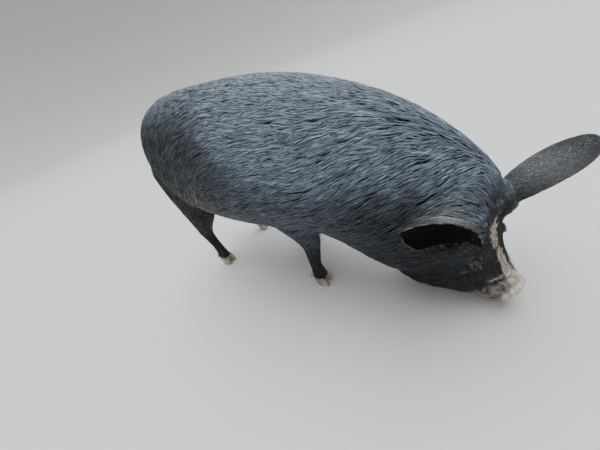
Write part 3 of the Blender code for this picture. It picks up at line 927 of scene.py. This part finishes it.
def in_hollow(field, centres):
    """True for the tufts that would come out into the hollow of an ear."""
    hollow = field.on_ear * (field.facing > 0)
    near = np.flatnonzero(to_head(centres[:, 0])[:, 0] > -0.32)
    found = np.zeros(len(centres), bool)
    for ring in range(1, centres.shape[1]):
        met = nearest_on(field.tree, centres[near, ring])[1]
        found[near] |= hollow[field.triangles[met][:, 0]] > 0.5
    return found


def make_tufts(label, field, unwrap, starts, faces, rings):
    """The tufts that start at these places, from the back of the body forwards, in as few pieces as fit."""
    order = np.argsort(starts[:, 0], kind="stable")
    roots, at = starts[order], faces[order]
    centres, outs = grow(field, roots, at, rings)
    kept = ~in_hollow(field, centres)
    roots, at, centres, outs = roots[kept], at[kept], centres[kept], outs[kept]
    widths = field.width[at] * rng.uniform(0.75, 1.3, len(roots))
    low, high = (np.array(corner) for corner in cad_box)
    points = np.clip(tuft_points(centres, outs, widths, rings), low + BOX_GAP, high - BOX_GAP)
    colours = tuft_colours(roots, at, field, rings)
    places = tuft_map(unwrap.at(roots), rings)
    count = math.ceil(len(roots) * len(tuft_faces(rings)) / PIECE_TRIANGLES)
    parts = np.array_split(np.arange(len(roots)), count)
    return [add_coat_piece(f"coat_{label}_{number + 1}", points[part], colours[part], places[part], rings)
            for number, part in enumerate(parts)]


def make_coat(field, unwrap):
    starts, faces = field.scatter(field.density * SQUARE_CM_IN_METRE)
    is_long = field.length[faces] > LONG_FROM
    pieces = make_tufts("long", field, unwrap, starts[is_long], faces[is_long], LONG_RINGS)
    pieces += make_tufts("short", field, unwrap, starts[~is_long], faces[~is_long], SHORT_RINGS)
    return pieces + [make_lashes(unwrap)]


# ---- materials ----
class Shader:
    """A node material with a Principled shader, and short calls to add nodes to it."""

    def __init__(self, name, roughness, specular=0.5, tint=(1, 1, 1)):
        self.material = bpy.data.materials.new(name)
        self.material.use_nodes = True
        self.tree = self.material.node_tree
        self.surface = self.tree.nodes["Principled BSDF"]
        self.surface.inputs["Roughness"].default_value = roughness
        self.surface.inputs["Specular IOR Level"].default_value = specular
        self.surface.inputs["Specular Tint"].default_value = (*tint, 1)

    def add(self, kind, **values):
        node = self.tree.nodes.new(kind)
        for key, value in values.items():
            if key in node.inputs:
                node.inputs[key].default_value = value
            else:
                setattr(node, key, value)
        return node

    def link(self, output, target):
        self.tree.links.new(output, target)

    def place(self, stretch=(1, 1, 1)):
        """The object's own coordinates, stretched."""
        place = self.add("ShaderNodeTexCoord")
        mapping = self.add("ShaderNodeMapping", Scale=stretch)
        self.link(place.outputs["Object"], mapping.inputs["Vector"])
        return mapping.outputs["Vector"]

    def noise(self, scale, stretch=(1, 1, 1), detail=3.0):
        node = self.add("ShaderNodeTexNoise", Scale=scale, Detail=detail)
        self.link(self.place(stretch), node.inputs["Vector"])
        return node.outputs["Fac"]

    def cells(self, scale):
        node = self.add("ShaderNodeTexVoronoi", Scale=scale)
        self.link(self.place(), node.inputs["Vector"])
        return node.outputs["Distance"]

    def spread(self, value, low, high):
        """A noise's usual range, 0.3 to 0.7, as numbers from low to high."""
        ends = {"From Min": 0.3, "From Max": 0.7, "To Min": low, "To Max": high}
        node = self.add("ShaderNodeMapRange", **ends)
        self.link(value, node.inputs["Value"])
        return node.outputs["Result"]

    def tone(self, brightness, low, high):
        """The mesh's own colour times a brightness from low to high."""
        colour = self.add("ShaderNodeVertexColor", layer_name="tone")
        scaled = self.add("ShaderNodeVectorMath", operation="SCALE")
        self.link(colour.outputs["Color"], scaled.inputs[0])
        self.link(self.spread(brightness, low, high), scaled.inputs["Scale"])
        self.link(scaled.outputs["Vector"], self.surface.inputs["Base Color"])

    def bump(self, heights):
        """Bumps laid over each other: (height, strength, distance) for each."""
        normal = None
        for height, strength, distance in heights:
            node = self.add("ShaderNodeBump", Strength=strength, Distance=distance)
            self.link(height, node.inputs["Height"])
            if normal is not None:
                self.link(normal, node.inputs["Normal"])
            normal = node.outputs["Normal"]
        self.link(normal, self.surface.inputs["Normal"])


def coat_material():
    shader = Shader("long black hair", 0.40, 0.36, (0.80, 0.90, 1.0))
    shader.tone(shader.noise(60, detail=4), 0.75, 1.3)
    fine = shader.noise(2600, (0.25, 1, 1), detail=2)
    shader.bump([(fine, 0.25, 0.0003)])
    shader.link(shader.spread(shader.noise(35), 0.33, 0.50), shader.surface.inputs["Roughness"])
    return shader.material


def skin_material(name, roughness, specular):
    shader = Shader(name, roughness, specular, (0.85, 0.92, 1.0))
    shader.tone(shader.noise(260, detail=5), 0.65, 1.4)
    shader.bump([
        (shader.noise(70, detail=4), 0.35, 0.0030),
        (shader.cells(620), 0.45, 0.0007),
        (shader.noise(1500, detail=3), 0.30, 0.0004),
    ])
    rough = shader.spread(shader.noise(120), roughness - 0.08, roughness + 0.12)
    shader.link(rough, shader.surface.inputs["Roughness"])
    return shader.material


def horn_material():
    shader = Shader("horn", 0.42)
    shader.tone(shader.noise(140, (1, 1, 0.15), detail=4), 0.6, 1.25)
    shader.bump([
        (shader.noise(900, (1, 1, 0.08), detail=2), 0.35, 0.0004),
        (shader.noise(260, (0.1, 0.1, 1), detail=2), 0.45, 0.0008),
    ])
    return shader.material


def eye_material():
    shader = Shader("wet eye", 0.06, 0.15)
    shader.tone(shader.noise(1800, detail=4), 0.75, 1.3)
    shader.surface.inputs["Coat Weight"].default_value = 0.12
    shader.surface.inputs["Coat Roughness"].default_value = 0.02
    return shader.material


# ---- colours of the skin ----
def paint_body(field):
    """The painted sheen of the coat on the skin under it, the painted grey sheen of the ears' backs, and the
    ears' hollows darkened, partly with painted shade.
    """
    points = field.points
    tones = BLACK_SKIN * np.exp(0.35 * noise_at(points, *MOTTLE))[:, None]
    # painted sheen of the light from above on the skin under the coat
    painted_sheen = painted_sheen_share(points, field.normals) * (1 - field.on_ear)
    tones = mix(tones, PAINTED_SHEEN_HAIR * 0.9, np.clip(painted_sheen, 0, 1))
    # painted grey sheen on the skin of the ears' backs
    sheen = field.on_ear * back_side(field.facing) * ear_sheen(points)
    tones = mix(tones, GREY_HAIR_AND_SHEEN * 0.5, np.clip(sheen, 0, 1))
    # the skin inside the ears' hollows made near black: partly its own dark skin, partly painted shade
    return mix(tones, BLACK_SKIN * 0.16, field.hollow)


def paint_markings(tones, points, regions):
    """The bare muzzle and fold, the stripe, the feet, the disc and the end of the tail."""
    muzzle = MUZZLE_SKIN * np.exp(0.4 * noise_at(points, *MOTTLE))[:, None]
    tones = mix(tones, muzzle, muzzle_share(points))
    tones = mix(tones, MUZZLE_SKIN * 1.7, 0.9 * fold_share(points))
    worn = np.exp(0.35 * noise_at(points, 0.007, 7.0) + 0.25 * noise_at(points, 0.0025, 7.5))[:, None]
    tones = mix(tones, PALE_SKIN * worn * 0.8, np.maximum(0.9 * blaze_share(points), foot_share(points)))
    # painted highlight: the disc painted paler towards its top, as if lit from above
    above = ramp(-0.012, 0.016, to_head(points)[:, 2])
    tones = mix(tones, PALE_SKIN * worn * (0.30 + 0.5 * above)[:, None], disc_share(points) * 0.9)
    return mix(tones, PALE_SKIN * 0.4, 0.8 * tail_share(points, regions))


def paint_features(tones, points):
    """The nostrils darkened with painted shade, the dark lids, and the paler wrinkles over the eyes."""
    station, side, rise = to_head(points).T
    # painted shade inside the pressed-in nostrils
    for reach in nostril_reaches(side, rise):
        tones = mix(tones, tones * 0.12, ramp(1.2, 0.7, reach) * (station > -0.02))
    opening, wrinkled = eye_shares(points)
    tones = mix(tones, tones * 0.3, ramp(1.7, 1.1, opening))
    return mix(tones, WRINKLE_SKIN, 0.8 * wrinkled)


def paint_skin(skin, field):
    """The skin's colours, with painted shade in the folds of the face and painted light on its ridges, and
    its second material inside the ears.
    """
    tones = paint_markings(paint_body(field), field.points, field.regions)
    tones = paint_features(tones, field.points)
    # painted shade and light: the face darkened in its folds and lightened on its ridges
    on_face = ramp(-0.20, -0.15, to_head(field.points)[:, 0]) * (1 - field.on_ear)
    tones = tones * np.exp(on_face * np.clip(field.relief, -1.6, 1.2) * 0.55)[:, None]
    finish(skin.data, mix(tones, EAR_RIM, field.ear_rim * 0.8), "skin", "hollow")
    inside = field.hollow * (1 - field.ear_rim) > 0.5
    slots = [inside[face.vertices[0]] for face in skin.data.polygons]
    skin.data.polygons.foreach_set("material_index", np.array(slots).astype(np.int32))


# ---- eyes and hooves ----
def make_eye(side):
    """A ball with a wide pupil and a brown iris, looking out of the head."""
    out, back, up = eye_axes(side)
    made = bmesh.new()
    bmesh.ops.create_uvsphere(made, u_segments=48, v_segments=40, radius=1.0)
    mesh = mesh_of(made, f"eyeball_{side}")
    points = points_of(mesh)
    along, across, height = points.T
    pupil = np.hypot(along / PUPIL_HALVES[0], across / PUPIL_HALVES[1])
    iris = np.hypot(along, across) / IRIS_RADIUS
    spokes = np.stack((np.arctan2(across, along) * 4, iris, np.zeros_like(iris)), 1)
    tones = IRIS_BROWN * (0.75 + 0.5 * noise_at(spokes, 0.35)[:, None])
    tones[pupil < 1] = PUPIL_BLACK
    tones = mix(tones, EYE_WHITE, ramp(0.92, 1.06, iris) * ramp(1.1, 1.5, iris))
    cornea = 1 + 0.05 * ramp(0.75, 0.0, np.hypot(along, across)) * (height > 0)
    turned = points * cornea[:, None] * EYE_RADIUS
    put_points(mesh, turned @ np.array((back, up, out)) + EYES[side])
    finish(mesh, tones, "eye")
    return add_object(f"eyeball_{side}", mesh)


def make_hooves(name, nodes):
    """The claws with rounded edges, growth rings and flat soles."""
    piece = fuse_solids(name, nodes, HOOF_VOXEL)
    start = points_of(piece.data)
    free = ramp(0.0004, 0.0022, start[:, 2:3])
    points = Network(piece.data).smooth(start, 12, 0.15 + 0.85 * free, keep_volume=True)
    put_points(piece.data, points)
    normals = read(piece.data.vertices, "normal", 3)
    level = (1 - np.abs(normals[:, 2])) * free[:, 0]
    rings = np.sin(2 * math.pi * (points[:, 2] + 0.25 * points[:, 0]) / RING_SPACING) * 0.00018 - 0.0003
    points = points + normals * (rings * level)[:, None]
    points[:, 2] = np.where(start[:, 2] < 0.0009, np.minimum(points[:, 2], start[:, 2]), points[:, 2])
    points[:, 2] = np.maximum(points[:, 2], 0.0)
    put_points(piece.data, points)
    share = ramp(-0.3, 0.4, noise_at(points * np.array((1, 1, 0.2)), 0.006, 2.0))
    share = share * ramp(0.0, 0.012, points[:, 2] + 0.006)
    finish(piece.data, mix(DARK_HORN, PALE_HORN, 0.35 + 0.65 * share), "hoof")
    return piece


# ---- floor, light and camera ----
def make_stage():
    """A wide pale floor that curves up into a wall all round."""
    rings = [(radius, 0.0) for radius in (0.0, 0.5, 1.5, 4.0, FLOOR_RADIUS)]
    rings += [(FLOOR_RADIUS + WALL_CURVE * math.sin(angle), WALL_CURVE - WALL_CURVE * math.cos(angle))
              for angle in np.linspace(0.1, 1.5, 14)]
    rings += [(FLOOR_RADIUS + WALL_CURVE, WALL_HEIGHT)]
    made = bmesh.new()
    profile = [made.verts.new((radius, 0, height)) for radius, height in rings]
    profile += [made.edges.new(pair) for pair in zip(profile, profile[1:])]
    bmesh.ops.spin(made, geom=profile, axis=(0, 0, 1), angle=2 * math.pi, steps=FLOOR_SIDES, use_merge=True)
    mesh = mesh_of(made, "floor")
    shade_smooth(mesh)
    shader = Shader("plain pale floor", 0.75, 0.2)
    shader.surface.inputs["Base Color"].default_value = (0.50, 0.49, 0.475, 1)
    mesh.materials.append(shader.material)
    add_object("floor", mesh)


def add_light(name, origin, spread, strength, colour):
    """A soft distant light from the direction of origin, as wide as spread in degrees."""
    light = bpy.data.lights.new(name, "SUN")
    light.angle = math.radians(spread)
    light.energy = strength
    light.color = colour
    lamp = add_object(name, light)
    lamp.location = origin
    lamp.rotation_euler = Vector(origin).to_track_quat("Z", "Y").to_euler()


def light_scene():
    world = bpy.data.worlds.new("soft light")
    bpy.context.scene.world = world
    world.use_nodes = True
    background = world.node_tree.nodes["Background"]
    background.inputs["Color"].default_value = (0.84, 0.91, 1.0, 1)
    background.inputs["Strength"].default_value = 0.50
    add_light("overhead", (-0.45, 0.55, 1.6), 80, 7.6, (0.93, 0.97, 1.0))
    add_light("front", (0.6, -1.5, 1.5), 60, 0.6, (1.0, 0.98, 0.96))


def add_camera():
    camera = bpy.data.cameras.new("camera")
    camera.sensor_width = 36.0
    camera.lens = CAMERA_LENS
    camera.clip_start = 0.01
    view = add_object("camera", camera)
    view.location = CAMERA_PLACE
    view.rotation_euler = [math.radians(angle) for angle in CAMERA_TURN]
    bpy.context.scene.camera = view


# ---- the whole model ----
MATERIALS = {
    "coat": coat_material(),
    "skin": skin_material("skin under short hair", 0.5, 0.45),
    "hollow": skin_material("inside of the ears", 0.85, 0.06),
    "hoof": horn_material(),
    "eye": eye_material(),
}
CLAWS, DEWCLAWS = named("claw"), named("dewclaw")
FLESH = [name for name in NODES if name not in CLAWS + DEWCLAWS + named("eye_")]

skin = build_skin()
field = Field(skin)
for piece in make_coat(field, Unwrap(skin)):
    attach(piece, "root")
paint_skin(skin, field)
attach(skin, "root")
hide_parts(*FLESH)
for side in EYES:
    ball = make_eye(side)
    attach(ball, "root")
    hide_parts(f"eye_{side}")
for name, nodes in (("hooves", CLAWS), ("dewclaws", DEWCLAWS)):
    horn = make_hooves(name, nodes)
    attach(horn, "root")
    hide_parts(*nodes)

make_stage()
light_scene()
add_camera()
